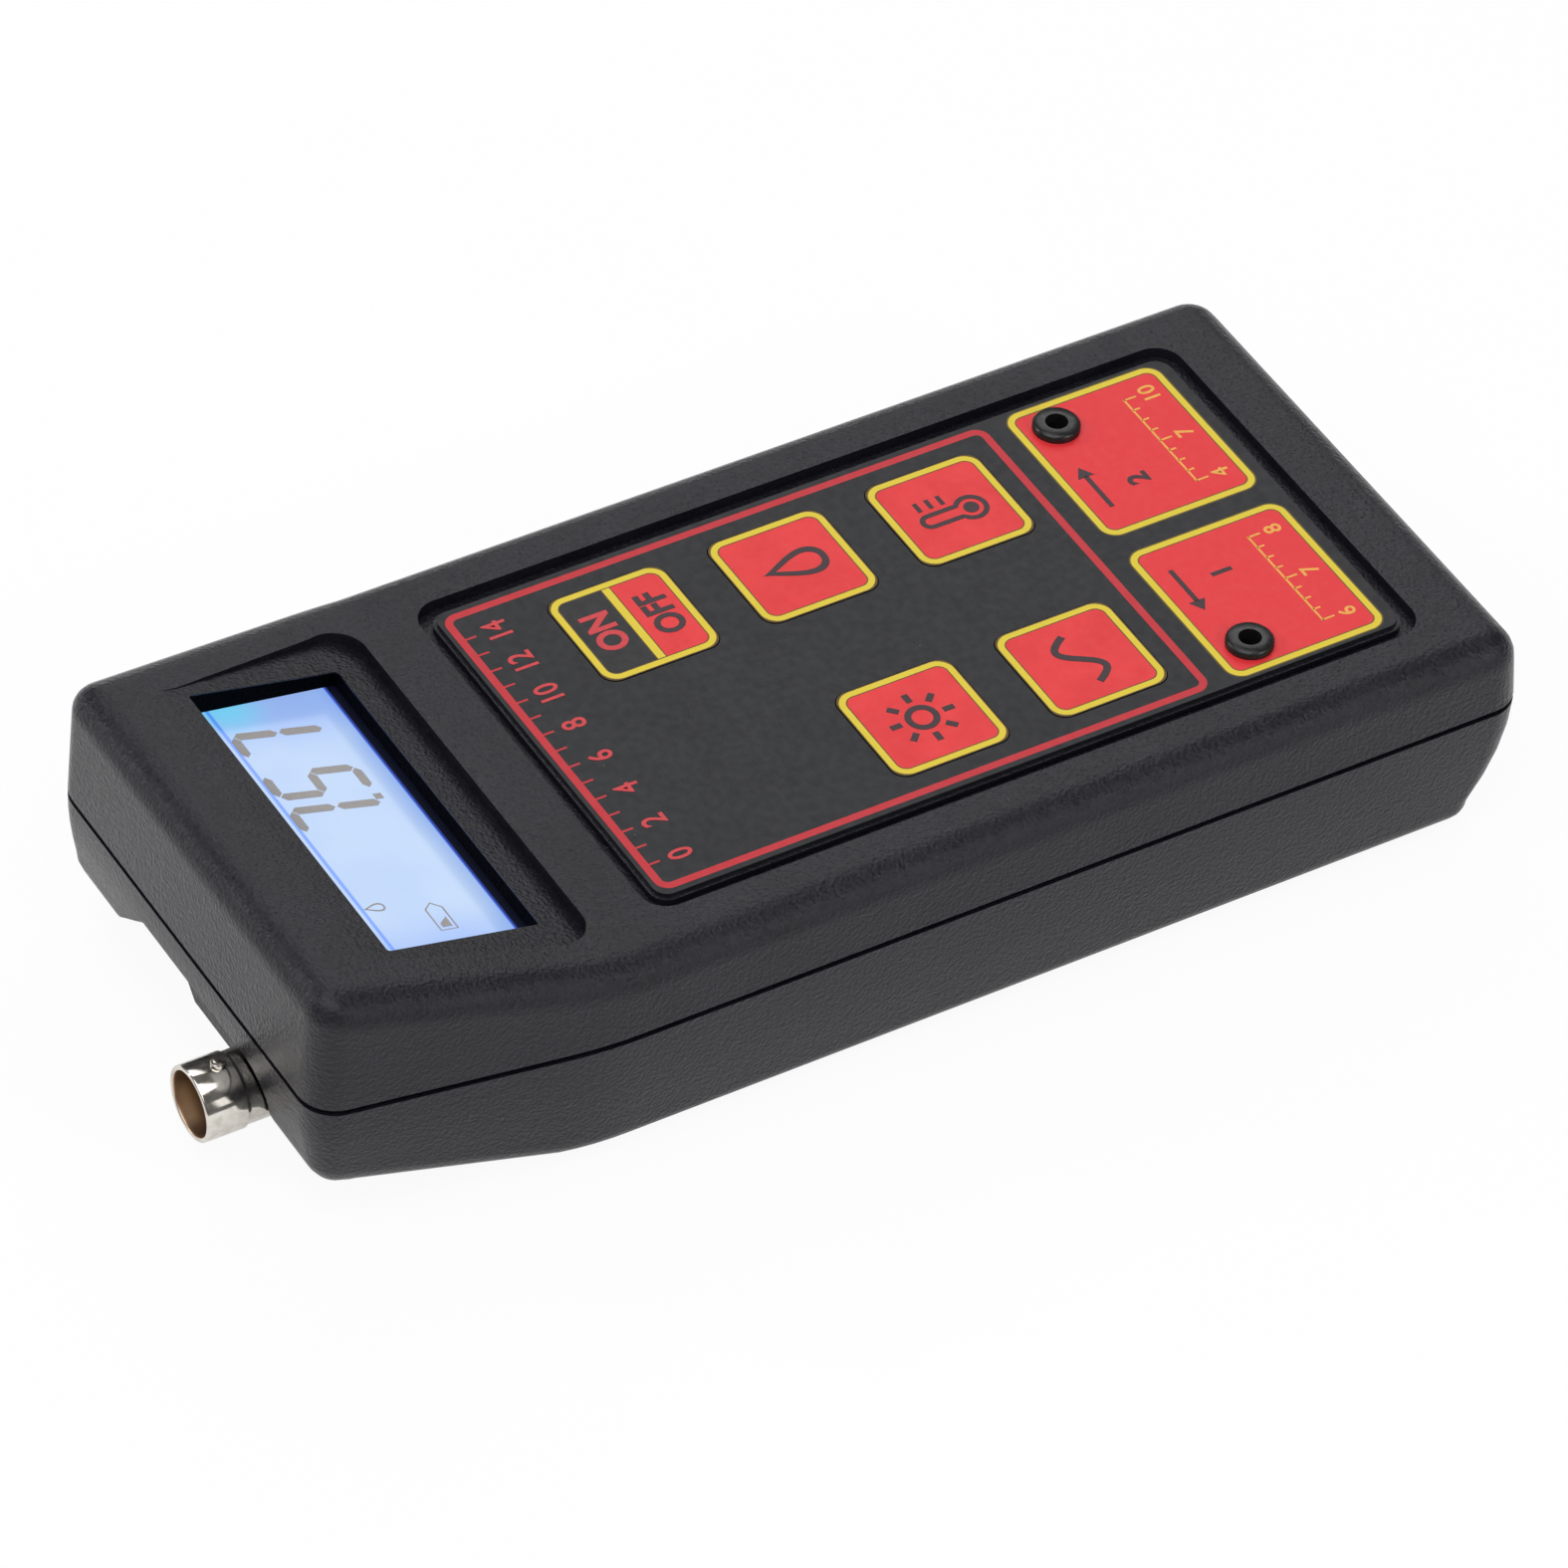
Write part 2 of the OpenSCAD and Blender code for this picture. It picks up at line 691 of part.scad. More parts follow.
// Display stack, front to back: glass, holder frame, light panel, board
module display_glass() {
    color("#c4d8f2") on_facet() translate([0, glass_yc, 0]) union() {
        plate(glass_w, glass_h - 3, 0.2, -glass_depth - glass_t / 2, -glass_depth);
        plate(glass_w, glass_h, 0.2, -glass_depth - glass_t, -glass_depth - glass_t / 2);
    }
}
module display_holder() {
    color("#e8e8e4") on_facet() translate([0, glass_yc, 0]) difference() {
        plate(holder_w, holder_h, 0.4, display_board_z, -glass_depth);
        plate(glass_w + 0.2, glass_h + 0.2, 0.3, display_board_z - cut, cut);
    }
}
module light_panel() {
    color("#f2f5fa") on_facet() translate([0, glass_yc, 0])
        plate(glass_w - 1, glass_h - 1, 0.3, display_board_z, light_z);
}
module display_board() {
    color("#2c6b43") on_facet() translate([0, glass_yc, 0]) difference() {
        union() {
            plate(holder_w, holder_h, 0.5, display_board_z - board_t, display_board_z);
            plate(2 * display_post_x + display_head_d, display_post_d + 0.6, 1,
                display_board_z - board_t, display_board_z);
        }
        for (sx = [-1, 1]) translate([sx * display_post_x, 0])
            rod(display_screw_d + 2 * run_gap, display_board_z - 5, display_board_z + cut);
    }
}
module display_screws() {
    color("#b9bcc0") for (sx = [-1, 1])
        on_facet() translate([sx * display_post_x, display_post_y]) {
            rod(display_screw_d, display_board_z - board_t - 0.2,
                display_board_z + display_screw_l);
            rod(display_head_d, display_board_z - board_t - display_head_h,
                display_board_z - board_t);
        }
}

// Main board and what is soldered to its upper side
module main_board() {
    color("#2c6b43") difference() {
        block(-board_w / 2, board_w / 2, board_y0, board_y1, board_z, board_top);
        for (sx = [-1, 1], y = board_post_ys) translate([sx * board_post_x, y])
            rod(board_screw_d + 2 * run_gap, board_z - cut, board_top + cut);
    }
}
module board_screws() {
    color("#b9bcc0") for (sx = [-1, 1], y = board_post_ys)
        translate([sx * board_post_x, y]) {
            rod(board_screw_d, board_z - 0.2, ceiling_z + 0.6);
            rod(board_head_d, board_z - board_head_h, board_z);
        }
}

// Flat chip package with gull-wing legs on both long sides
leg_l = 1.2;
leg_w = 0.5;
leg_t = 0.6;
chip_lift = 0.2;
converter_w = 9;
converter_l = 15;
converter_h = 2.4;
converter_pitch = 1.4;
amplifier_w = 4;
amplifier_l = 5;
amplifier_h = 1.7;
amplifier_pitch = 1.27;
capacitor_d = 4;
capacitor_h = 3;
capacitor_pitch = 8;
capacitor_y = trim_y + 7;
module chip(w, l, h, legs, leg_pitch) {
    block(-w / 2, w / 2, -l / 2, l / 2, board_top + chip_lift, board_top + h);
    for (sx = [-1, 1], i = [0:legs - 1])
        translate([sx * (w / 2 + 0.4 * leg_l), (i - (legs - 1) / 2) * leg_pitch])
            block(-leg_l / 2, leg_l / 2, -leg_w / 2, leg_w / 2, board_top, board_top + leg_t);
}
module converter_chip() {
    color("#222224") translate([0, key_y0 + key_pitch / 2])
        chip(converter_w, converter_l, converter_h, 10, converter_pitch);
}
module input_amplifier() {
    color("#222224") translate([0, key_y0 + 2 * key_pitch])
        chip(amplifier_w, amplifier_l, amplifier_h, 4, amplifier_pitch);
}
module capacitors() {
    color("#31486e")
        for (y = [capacitor_y, capacitor_y + capacitor_pitch, board_y1 - 14])
            translate([0, y]) rod(capacitor_d, board_top, board_top + capacitor_h);
}

// Bayonet probe socket: turned shell, insulator, centre contact, washer and nut
lug_d = 1.9;
lug_span = 11;
lug_in = 3.8;
lug_y = rim_y - lug_in;
collar_l = 6;
neck_cut = 0.25;
barrel_wall = 0.65;
barrel_floor = 2;
thread_out = 1;
socket_back_y = bay_wall_y - wall - nut_t - washer_t - thread_out;
insulator_d = 3.8;
insulator_front_d = 4.6;
insulator_in = 2.6;
contact_d = 2.1;
contact_bore_d = 1.35;
contact_deep = 5;
contact_y = rim_y - insulator_in - 0.4;
contact_tail = 2;
module socket_shell() {
    color("#c9c7c1") difference() {
        union() {
            socket_axis() {
                rod(shank_d, socket_back_y, bay_wall_y + cut);
                rod(flange_d, bay_wall_y, bay_wall_y + flange_t);
                rod(barrel_d - 2 * neck_cut, bay_wall_y, rim_y - collar_l + 0.4);
                rod(barrel_d, rim_y - collar_l, rim_y);
            }
            translate([-socket_x, lug_y, socket_z])
                cylinder(d = lug_d, h = lug_span, center = true, $fn = 32);
        }
        socket_axis() {
            rod(barrel_d - 2 * barrel_wall, bay_wall_y + barrel_floor, rim_y + cut);
            rod(insulator_d, socket_back_y - cut, rim_y);
        }
    }
}
module socket_insulator() {
    color("#d9cdb4") socket_axis() difference() {
        union() {
            rod(insulator_d, socket_back_y, bay_wall_y + barrel_floor);
            rod(insulator_front_d, bay_wall_y + barrel_floor, rim_y - insulator_in);
        }
        rod(contact_d, socket_back_y - cut, rim_y);
    }
}
module socket_contact() {
    color("#c8a24a") socket_axis() difference() {
        rod(contact_d, socket_back_y - contact_tail, contact_y);
        rod(contact_bore_d, contact_y - contact_deep, rim_y);
    }
}
module socket_washer() {
    color("#b9b7b0") socket_axis() difference() {
        rod(nut_af + 2 * slip, bay_wall_y - wall - washer_t, bay_wall_y - wall);
        rod(shank_d, bay_wall_y - wall - 2, bay_wall_y);
    }
}
module socket_nut() {
    color("#c9c7c1") socket_axis() difference() {
        translate([0, 0, bay_wall_y - wall - washer_t - nut_t])
            cylinder(d = nut_af * 2 / sqrt(3), h = nut_t, $fn = 6);
        rod(shank_d, bay_wall_y - wall - washer_t - nut_t - cut, bay_wall_y);
    }
}

// Jack for the temperature probe, in the same bay
module temperature_jack() {
    color("#252527") jack_axis() difference() {
        union() {
            rod(jack_d, jack_wall_y - wall - 0.1, jack_wall_y + jack_out);
            rod(jack_rear_d, jack_wall_y - wall - jack_rear_l, jack_wall_y - wall);
        }
        rod(jack_bore_d, jack_wall_y - wall - 6.5, half_l);
    }
}
module temperature_jack_nut() {
    color("#c9c7c1") jack_axis() difference() {
        rod(jack_nut_d, jack_wall_y, jack_wall_y + jack_nut_t);
        rod(jack_d, jack_wall_y - cut, half_l);
    }
}

// Nine volt block battery with its two studs, and the snap that fits them
stud_x = 6.35;
stud_d = 5.6;
clasp_d = 7.4;
stud_l = 2.4;
stud_sink = 0.2;
stud_room = 0.2;
snap_w = 25;
snap_t = 11.6;
snap_r = 3;
snap_gap = 0.3;
battery_y1 = battery_y0 + battery_l;
battery_zc = battery_z + battery_t / 2;
module battery() {
    color("#2a2b30") union() {
        translate([0, battery_y1, battery_zc]) rotate([90, 0, 0])
            linear_extrude(height = battery_l) round_rect(battery_w, battery_t, 2);
        end_axis(-stud_x, battery_zc) rod(stud_d, battery_y1 - stud_sink, battery_y1 + stud_l);
        end_axis(stud_x, battery_zc) rod(clasp_d, battery_y1 - stud_sink, battery_y1 + stud_l);
    }
}
module battery_snap() {
    color("#1f1f21") difference() {
        translate([0, battery_y1 + snap_l - 2 * snap_gap, battery_zc]) rotate([90, 0, 0])
            linear_extrude(height = snap_l - 3 * snap_gap) round_rect(snap_w, snap_t, snap_r);
        end_axis(-stud_x, battery_zc)
            rod(stud_d + stud_room, battery_y1, battery_y1 + stud_l + snap_gap);
        end_axis(stud_x, battery_zc)
            rod(clasp_d + stud_room, battery_y1, battery_y1 + stud_l + snap_gap);
    }
}

// Battery leads: up from the snap, through a notch over the bay wall, to the board
lead_d = 1.2;
lead_x = 5;
lead_y = battery_y1 + snap_l - 2 * lead_d;
module lead(x) {
    translate([x, lead_y, 0]) rod(lead_d, battery_zc + snap_t / 2, board_z);
}
module red_lead() { color("#c03030") lead(lead_x); }
module black_lead() { color("#1c1c1e") lead(-lead_x); }

cross_l = 3.2;
cross_w = 0.7;
module case_screws() {
    color("#8e9094") for (sx = [-1, 1], y = case_post_ys)
        translate([sx * case_post_x, y]) difference() {
            union() {
                rod(case_screw_d, case_head_z + 1, case_screw_top - 0.6);
                rod(case_head_d, case_head_z, case_head_z + case_head_h);
            }
            for (a = [0, 90]) rotate(a)
                block(-cross_l / 2, cross_l / 2, -cross_w / 2, cross_w / 2,
                    case_head_z - cut, case_head_z + 0.9);
        }
}

front_shell();
back_shell();
battery_door();
keypad_overlay();
key_on_off();
key_ph();
key_celsius();
key_millivolt();
key_light();
switch_button_on_off();
switch_button_ph();
switch_button_celsius();
switch_button_millivolt();
switch_button_light();
switch_bodies();
slope_bush();
standard_bush();
slope_trimmer_body();
standard_trimmer_body();
slope_trimmer_screw();
standard_trimmer_screw();
display_glass();
display_holder();
light_panel();
display_board();
display_screws();
main_board();
board_screws();
converter_chip();
input_amplifier();
capacitors();
socket_shell();
socket_insulator();
socket_contact();
socket_washer();
socket_nut();
temperature_jack();
temperature_jack_nut();
battery();
battery_snap();
red_lead();
black_lead();
case_screws();
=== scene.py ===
"""Looks of the handheld pH tester: grained case, printed keypad film, backlit display, nickel
socket."""

import json
import math

import bpy
import numpy as np
from mathutils import Matrix, Vector


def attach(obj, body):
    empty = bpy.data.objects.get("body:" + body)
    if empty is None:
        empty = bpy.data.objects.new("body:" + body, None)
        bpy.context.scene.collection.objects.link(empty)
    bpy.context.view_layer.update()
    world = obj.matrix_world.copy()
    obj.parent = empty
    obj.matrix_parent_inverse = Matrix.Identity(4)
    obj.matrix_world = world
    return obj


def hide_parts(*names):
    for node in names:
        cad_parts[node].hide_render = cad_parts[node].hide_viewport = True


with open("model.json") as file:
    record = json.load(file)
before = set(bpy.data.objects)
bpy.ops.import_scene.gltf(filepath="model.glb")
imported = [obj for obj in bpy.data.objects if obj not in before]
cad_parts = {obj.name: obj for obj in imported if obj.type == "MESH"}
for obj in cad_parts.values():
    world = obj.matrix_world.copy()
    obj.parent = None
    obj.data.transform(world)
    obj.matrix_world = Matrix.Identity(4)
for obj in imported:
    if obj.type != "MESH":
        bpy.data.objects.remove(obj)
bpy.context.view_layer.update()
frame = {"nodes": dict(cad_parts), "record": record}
MM = 0.001

# Sizes shared with the solids, in millimetres
FILM_Z = 28.6
KEY_Z = 28.7
KEY_SIDE = 16.1
KEYS = {
    "key_on_off": (15.2, 13.1),
    "key_ph": (15.2, -9.15),
    "key_celsius": (15.2, -31.4),
    "key_millivolt": (-15.2, -31.4),
    "key_light": (-15.2, -9.15),
}
RECESS_TILT = math.radians(13.2)
RECESS_ORIGIN = (0.0, 48.5, 28.28)
GLASS_DEPTH = 3.3
SOCKET_X, SOCKET_Z = -14.3, 8.5
SOCKET_WALL_Y, SOCKET_RIM_Y = 78.3, 89.1

# Sizes of the print, in millimetres
INK = 0.03  # its thickness
SCALE_END = 22.0  # where 0 and 14 lie on the ruled edge, left and right of the middle
SCALE_PITCH = 2 * SCALE_END / 14
PANEL_X = 14.3  # middle of a panel
PANEL_ROW_Y = -61.2  # the line of its scale
PANEL_SCALE_END = 8.4  # first and last tick, from the panel's middle
THIN_LINE = 0.28


# Finishes
class Value:
    """A socket that takes part in arithmetic. Each operation adds its Math node."""

    def __init__(self, finish, socket):
        self.finish, self.socket = finish, socket

    def maths(self, operation, *others):
        sockets = dict(enumerate((self,) + others))
        return self.finish.node("ShaderNodeMath", {"operation": operation}, sockets)

    def __add__(self, other):
        return self.maths("ADD", other)

    def __mul__(self, other):
        return self.maths("MULTIPLY", other)

    def __sub__(self, other):
        return self.maths("SUBTRACT", other)

    def __rsub__(self, other):
        return self.finish.node("ShaderNodeMath", {"operation": "SUBTRACT"}, {0: other, 1: self})

    def __abs__(self):
        return self.maths("ABSOLUTE")

    def root(self):
        return self.maths("SQRT")

    def larger(self, other):
        return self.maths("MAXIMUM", other)

    def smaller(self, other):
        return self.maths("MINIMUM", other)

    def wrapped(self, period):
        return self.maths("FLOORED_MODULO", period)

    def rise(self, start, end):
        """0 below start, 1 above end, with a smooth step between."""
        return self.finish.node(
            "ShaderNodeMapRange",
            {"interpolation_type": "SMOOTHSTEP"},
            {0: self, 1: start, 2: end, 3: 0.0, 4: 1.0},
        )

    def fall(self, start, end):
        """1 below start, 0 above end, with a smooth step between."""
        return 1.0 - self.rise(start, end)


class Finish:
    """One procedural material. Every node in it is made by node()."""

    def __init__(self, name):
        self.material = bpy.data.materials.new(name)
        self.material.use_nodes = True
        self.tree = self.material.node_tree
        self.tree.nodes.clear()
        self.place = self.node("ShaderNodeTexCoord", out="Object")

    def node(self, kind, settings=None, sockets=None, out=0):
        made = self.tree.nodes.new(kind)
        for name, value in (settings or {}).items():
            setattr(made, name, value)
        for key, value in (sockets or {}).items():
            if isinstance(value, Value):
                self.tree.links.new(value.socket, made.inputs[key])
            else:
                made.inputs[key].default_value = value
        return Value(self, made.outputs[out] if len(made.outputs) else None)

    def axis(self, index):
        """X, Y or Z in millimetres."""
        return self.node("ShaderNodeSeparateXYZ", None, {0: self.place}, out=index) * 1000.0

    def noise(self, size_mm, detail=2.0, roughness=0.5):
        sockets = {"Vector": self.place, "Scale": 1000.0 / size_mm}
        sockets.update({"Detail": detail, "Roughness": roughness})
        return self.node("ShaderNodeTexNoise", None, sockets)

    def cells(self, size_mm, feature="F1"):
        sockets = {"Vector": self.place, "Scale": 1000.0 / size_mm}
        return self.node("ShaderNodeTexVoronoi", {"feature": feature}, sockets)

    def mix(self, mask, below, above):
        """The colour below where the mask is 0, the one above where it is 1."""
        sockets = {0: mask, 6: below, 7: above}
        return self.node("ShaderNodeMix", {"data_type": "RGBA"}, sockets, out=2)

    def mottled(self, size_mm, dark, light):
        """A colour that drifts between two over spots of this size."""
        return self.mix(self.noise(size_mm, 3.0).rise(0.3, 0.7), dark, light)

    def bump(self, height, depth_mm):
        sockets = {"Strength": 1.0, "Distance": depth_mm * MM, "Height": height}
        return self.node("ShaderNodeBump", None, sockets)

    def surface(self, **sockets):
        """Ends the material in one Principled shader with these sockets, whose names have
        underscores for spaces."""
        named = {key.replace("_", " "): value for key, value in sockets.items()}
        shader = self.node("ShaderNodeBsdfPrincipled", None, named)
        self.node("ShaderNodeOutputMaterial", None, {"Surface": shader})
        return self.material


def srgb(red, green, blue):
    """A screen colour, 0 to 255, as the linear colour that a shader takes."""
    c = np.array([red, green, blue]) / 255.0
    linear = np.where(c <= 0.04045, c / 12.92, ((c + 0.055) / 1.055) ** 2.4)
    return (*[float(v) for v in linear], 1.0)


def scaled(colour, factor):
    """A colour made darker or lighter by a factor, up to full white."""
    return tuple(min(1.0, c * factor) for c in colour[:3]) + (1.0,)


def rounded_distance(x, y, centre, width, height, radius):
    """Distance in millimetres outside the edge of a rectangle with round corners, less than 0
    inside it: |max(q, 0)| + min(max(qx, qy), 0) - radius, with q = |p - centre| - (half size -
    radius)."""
    qx = abs(x - centre[0]) - (width / 2 - radius)
    qy = abs(y - centre[1]) - (height / 2 - radius)
    ox, oy = qx.larger(0.0), qy.larger(0.0)
    return (ox * ox + oy * oy).root() + qx.larger(qy).smaller(0.0) - radius


def band(distance, low, high, soft=0.05):
    """1 where the distance lies between low and high."""
    return distance.rise(low - soft, low + soft) * distance.fall(high - soft, high + soft)


def specks(f, size_mm=3.2, radius=0.022):
    """Sparse dust dots: the middles of the cells of a wide cell pattern, in some regions only."""
    dots = f.cells(size_mm).fall(radius * 0.6, radius)
    return dots * f.noise(7.0, 0.0).rise(0.52, 0.56)


def grained_plastic(name, dark, light, depth_mm):
    """Moulded plastic with a fine leathery grain, faint mottling and dust, and painted shade in the
    display's well: its walls are made dead black, dull and unreflecting, where the plastic only
    lies in shade. level is the height out of the slope that the well is cut in."""
    f = Finish(name)
    mottle = f.noise(9.0, 3.0) * 0.5 + f.noise(0.9, 3.0) * 0.5
    colour = f.mix(mottle.rise(0.3, 0.7), srgb(*dark), srgb(*light))
    colour = f.mix(specks(f) * 0.5, colour, srgb(150, 150, 152))
    grain = f.cells(0.48, "SMOOTH_F1") * 0.9 + f.noise(0.27, 3.0, 0.6) * 0.8
    x, y, z = f.axis(0), f.axis(1), f.axis(2)
    level = (z - RECESS_ORIGIN[2]) * math.cos(RECESS_TILT)
    level = level - (y - RECESS_ORIGIN[1]) * math.sin(RECESS_TILT)
    beside = abs(x).fall(25.0, 25.2) * y.rise(46.8, 47.0) * y.fall(70.0, 70.2)
    # painted shade: the walls of the display's well, between these levels and beside the display
    well_shade = band(level, -6.0, -0.2) * beside
    gloss = (f.noise(0.6, 2.0).rise(0.25, 0.75) * 0.1 + 0.17 + well_shade * 0.68).smaller(0.95)
    # painted shade: the well's walls near black, rough and metallic, so they show no light
    colour = f.mix(well_shade, colour, srgb(9, 9, 12))
    bump = f.bump(grain, depth_mm)
    return f.surface(Base_Color=colour, Roughness=gloss, Metallic=well_shade, IOR=1.4, Normal=bump)


def satin(f, colour, rough):
    """Ends a printed film: uneven gloss and a fine tooth."""
    tooth = f.noise(0.16, 3.0, 0.6)
    gloss = f.noise(1.2, 3.0).rise(0.2, 0.8) * 0.12 + rough
    return f.surface(Base_Color=colour, Roughness=gloss, IOR=1.4, Normal=f.bump(tooth, 0.012))


def film_print(f, x, y):
    """Colours of the printed film: a red frame with a ruled edge, and two red panels with yellow
    edges."""
    base = f.mottled(6.0, srgb(23, 24, 28), srgb(28, 29, 33))
    frame_red, panel_red = srgb(196, 42, 52), srgb(229, 50, 55)
    yellow, olive = srgb(226, 202, 52), srgb(92, 78, 28)
    edge = rounded_distance(x, y, (0.0, -4.8), 53.4, 76.4, 1.9)
    colour = f.mix(band(edge, -1.0, 0.0), base, frame_red)
    from_tick = (x + SCALE_END + SCALE_PITCH / 2).wrapped(SCALE_PITCH) - SCALE_PITCH / 2
    ticks = abs(from_tick).fall(0.1, 0.2) * y.rise(30.9, 31.0) * y.fall(32.7, 32.8)
    colour = f.mix(ticks * abs(x).fall(22.3, 22.4), colour, frame_red)
    panel = rounded_distance(abs(x), y, (PANEL_X, -56.97), 25.4, 22.4, 2.3)
    for start, shade in ((0.04, olive), (-0.18, yellow), (-1.04, olive), (-1.2, panel_red)):
        colour = f.mix(panel.fall(start, start + 0.08), colour, shade)
    return colour


def printed_film(name):
    """Satin film with its print and a little dust."""
    f = Finish(name)
    colour = film_print(f, f.axis(0), f.axis(1))
    colour = f.mix(specks(f) * 0.6, colour, srgb(170, 170, 172))
    return satin(f, colour, 0.40)


def printed_key(name, centre, split):
    """Key film: red field, dark hairline, yellow rim. A split key is dark on its upper half, above
    a yellow line."""
    f = Finish(name)
    x, y = f.axis(0), f.axis(1)
    rim = rounded_distance(x, y, centre, KEY_SIDE, KEY_SIDE, 2.4)
    colour = f.mottled(5.0, srgb(225, 47, 51), srgb(233, 54, 57))
    yellow, olive, dark = srgb(226, 202, 52), srgb(92, 70, 24), srgb(32, 32, 35)
    if split:
        above = y - centre[1]
        colour = f.mix(above.rise(-0.05, 0.05), colour, dark)
        colour = f.mix(abs(above).fall(0.62, 0.72), colour, olive)
        colour = f.mix(abs(above).fall(0.48, 0.55), colour, yellow)
    for start, shade in ((-1.2, olive), (-1.04, yellow), (-0.2, olive)):
        colour = f.mix(rim.rise(start, start + 0.08), colour, shade)
    colour = f.mix(f.axis(2).fall(KEY_Z - 0.06, KEY_Z - 0.03), colour, dark)
    return satin(f, colour, 0.38)


def ink(name, colour, spread=0.06):
    """Screen print: a slightly uneven colour on the tooth of the film."""
    f = Finish(name)
    shade = f.mottled(0.7, scaled(colour, 1 - spread), scaled(colour, 1 + spread))
    gloss = f.noise(0.5, 2.0) * 0.1 + 0.42
    return f.surface(Base_Color=shade, Roughness=gloss, Normal=f.bump(f.noise(0.16, 3.0), 0.01))


def lit_display(name):
    """Backlit display: pale blue, bluer at its edges, with a cyan glow in one corner, thin dark and
    blue lines along its keypad edge, and a blue line inside its two other outer edges that is a
    painted reflection: the display's light on the lip of its well."""
    f = Finish(name)
    x, y, z = f.axis(0), f.axis(1), f.axis(2)
    up = (y - RECESS_ORIGIN[1]) * math.cos(RECESS_TILT)
    up = up + (z - RECESS_ORIGIN[2]) * math.sin(RECESS_TILT)
    across = abs(x).rise(14.0, 24.5) * 0.55
    along = abs(up - 10.4).rise(6.5, 11.0) * 0.5
    rim = (across * across + along * along).root().smaller(1.0)
    cloud = f.noise(11.0, 2.0).rise(0.3, 0.7) * 0.12
    colour = f.mix((rim + cloud).smaller(1.0), srgb(190, 213, 244), srgb(116, 160, 244))
    gx, gy = x - 25.0, up - 15.0
    glow = (gx * gx + gy * gy).root().fall(0.5, 7.0)
    # painted reflection: a blue line along the two edges that the lip of the well hides, for the
    # display's light on that lip
    edge = (-21.8 - x).larger(up - 17.2)
    for mask, shade in (
        (glow * 0.7, (104, 220, 250)),
        (band(up, 0.42, 0.58, 0.05), (74, 122, 248)),
        (up.fall(0.38, 0.42), (20, 26, 66)),
        (band(up, 0.14, 0.28, 0.03), (56, 78, 190)),
        (up.fall(0.1, 0.14), (10, 12, 26)),
        # the painted reflection of the display's light on the lip of the well
        (band(edge, -0.2, 0.3, 0.12) * 0.7, (52, 128, 252)),
    ):
        colour = f.mix(mask, colour, srgb(*shade))
    return f.surface(
        Base_Color=f.mix(0.96, colour, (0.01, 0.012, 0.02, 1.0)),
        Roughness=f.noise(3.0, 2.0) * 0.06 + 0.16,
        Emission_Color=colour,
        Emission_Strength=0.92,
        Normal=f.bump(f.noise(2.5, 1.0), 0.004),
    )


def plated(name, colour, rough, ring_mm=0.0):
    """Bright plated metal: a cloudy polish, and faint turning rings along Y where their pitch is
    given."""
    f = Finish(name)
    tint = f.mottled(2.0, scaled(colour, 0.9), colour)
    gloss = f.noise(0.8, 3.0).rise(0.3, 0.75) * 0.1 + rough
    height = f.noise(0.3, 3.0) * 0.4
    if ring_mm:
        height = height + abs(f.axis(1).wrapped(ring_mm) - ring_mm / 2) * (0.6 / ring_mm)
    return f.surface(Base_Color=tint, Metallic=1.0, Roughness=gloss, Normal=f.bump(height, 0.004))


def socket_metal(name):
    """Nickel with turning rings outside, tarnished brown inside the barrel."""
    f = Finish(name)
    x, z = f.axis(0) - SOCKET_X, f.axis(2) - SOCKET_Z
    inside = (x * x + z * z).root().fall(4.2, 4.32)
    nickel = f.mottled(1.6, srgb(206, 200, 190), srgb(228, 224, 216))
    colour = f.mix(inside, nickel, srgb(206, 180, 156))
    gloss = f.noise(0.6, 3.0).rise(0.3, 0.75) * 0.06 + 0.08 + inside * 0.24
    rings = abs(f.axis(1).wrapped(0.12) - 0.06) * 6.0 + f.noise(0.25, 3.0) * 0.6
    bump = f.bump(rings, 0.0012)
    return f.surface(Base_Color=colour, Metallic=1.0, Roughness=gloss, Normal=bump)


def moulded(name, colour, rough, grain_mm=0.3, depth_mm=0.02):
    """A plain moulded, rubber or coated piece with mottled colour and fine grain."""
    f = Finish(name)
    shade = f.mottled(2.0, scaled(colour, 0.82), colour)
    gloss = f.noise(0.8, 2.0).rise(0.3, 0.7) * 0.14 + rough
    bump = f.bump(f.noise(grain_mm, 3.0), depth_mm)
    return f.surface(Base_Color=shade, Roughness=gloss, Normal=bump)


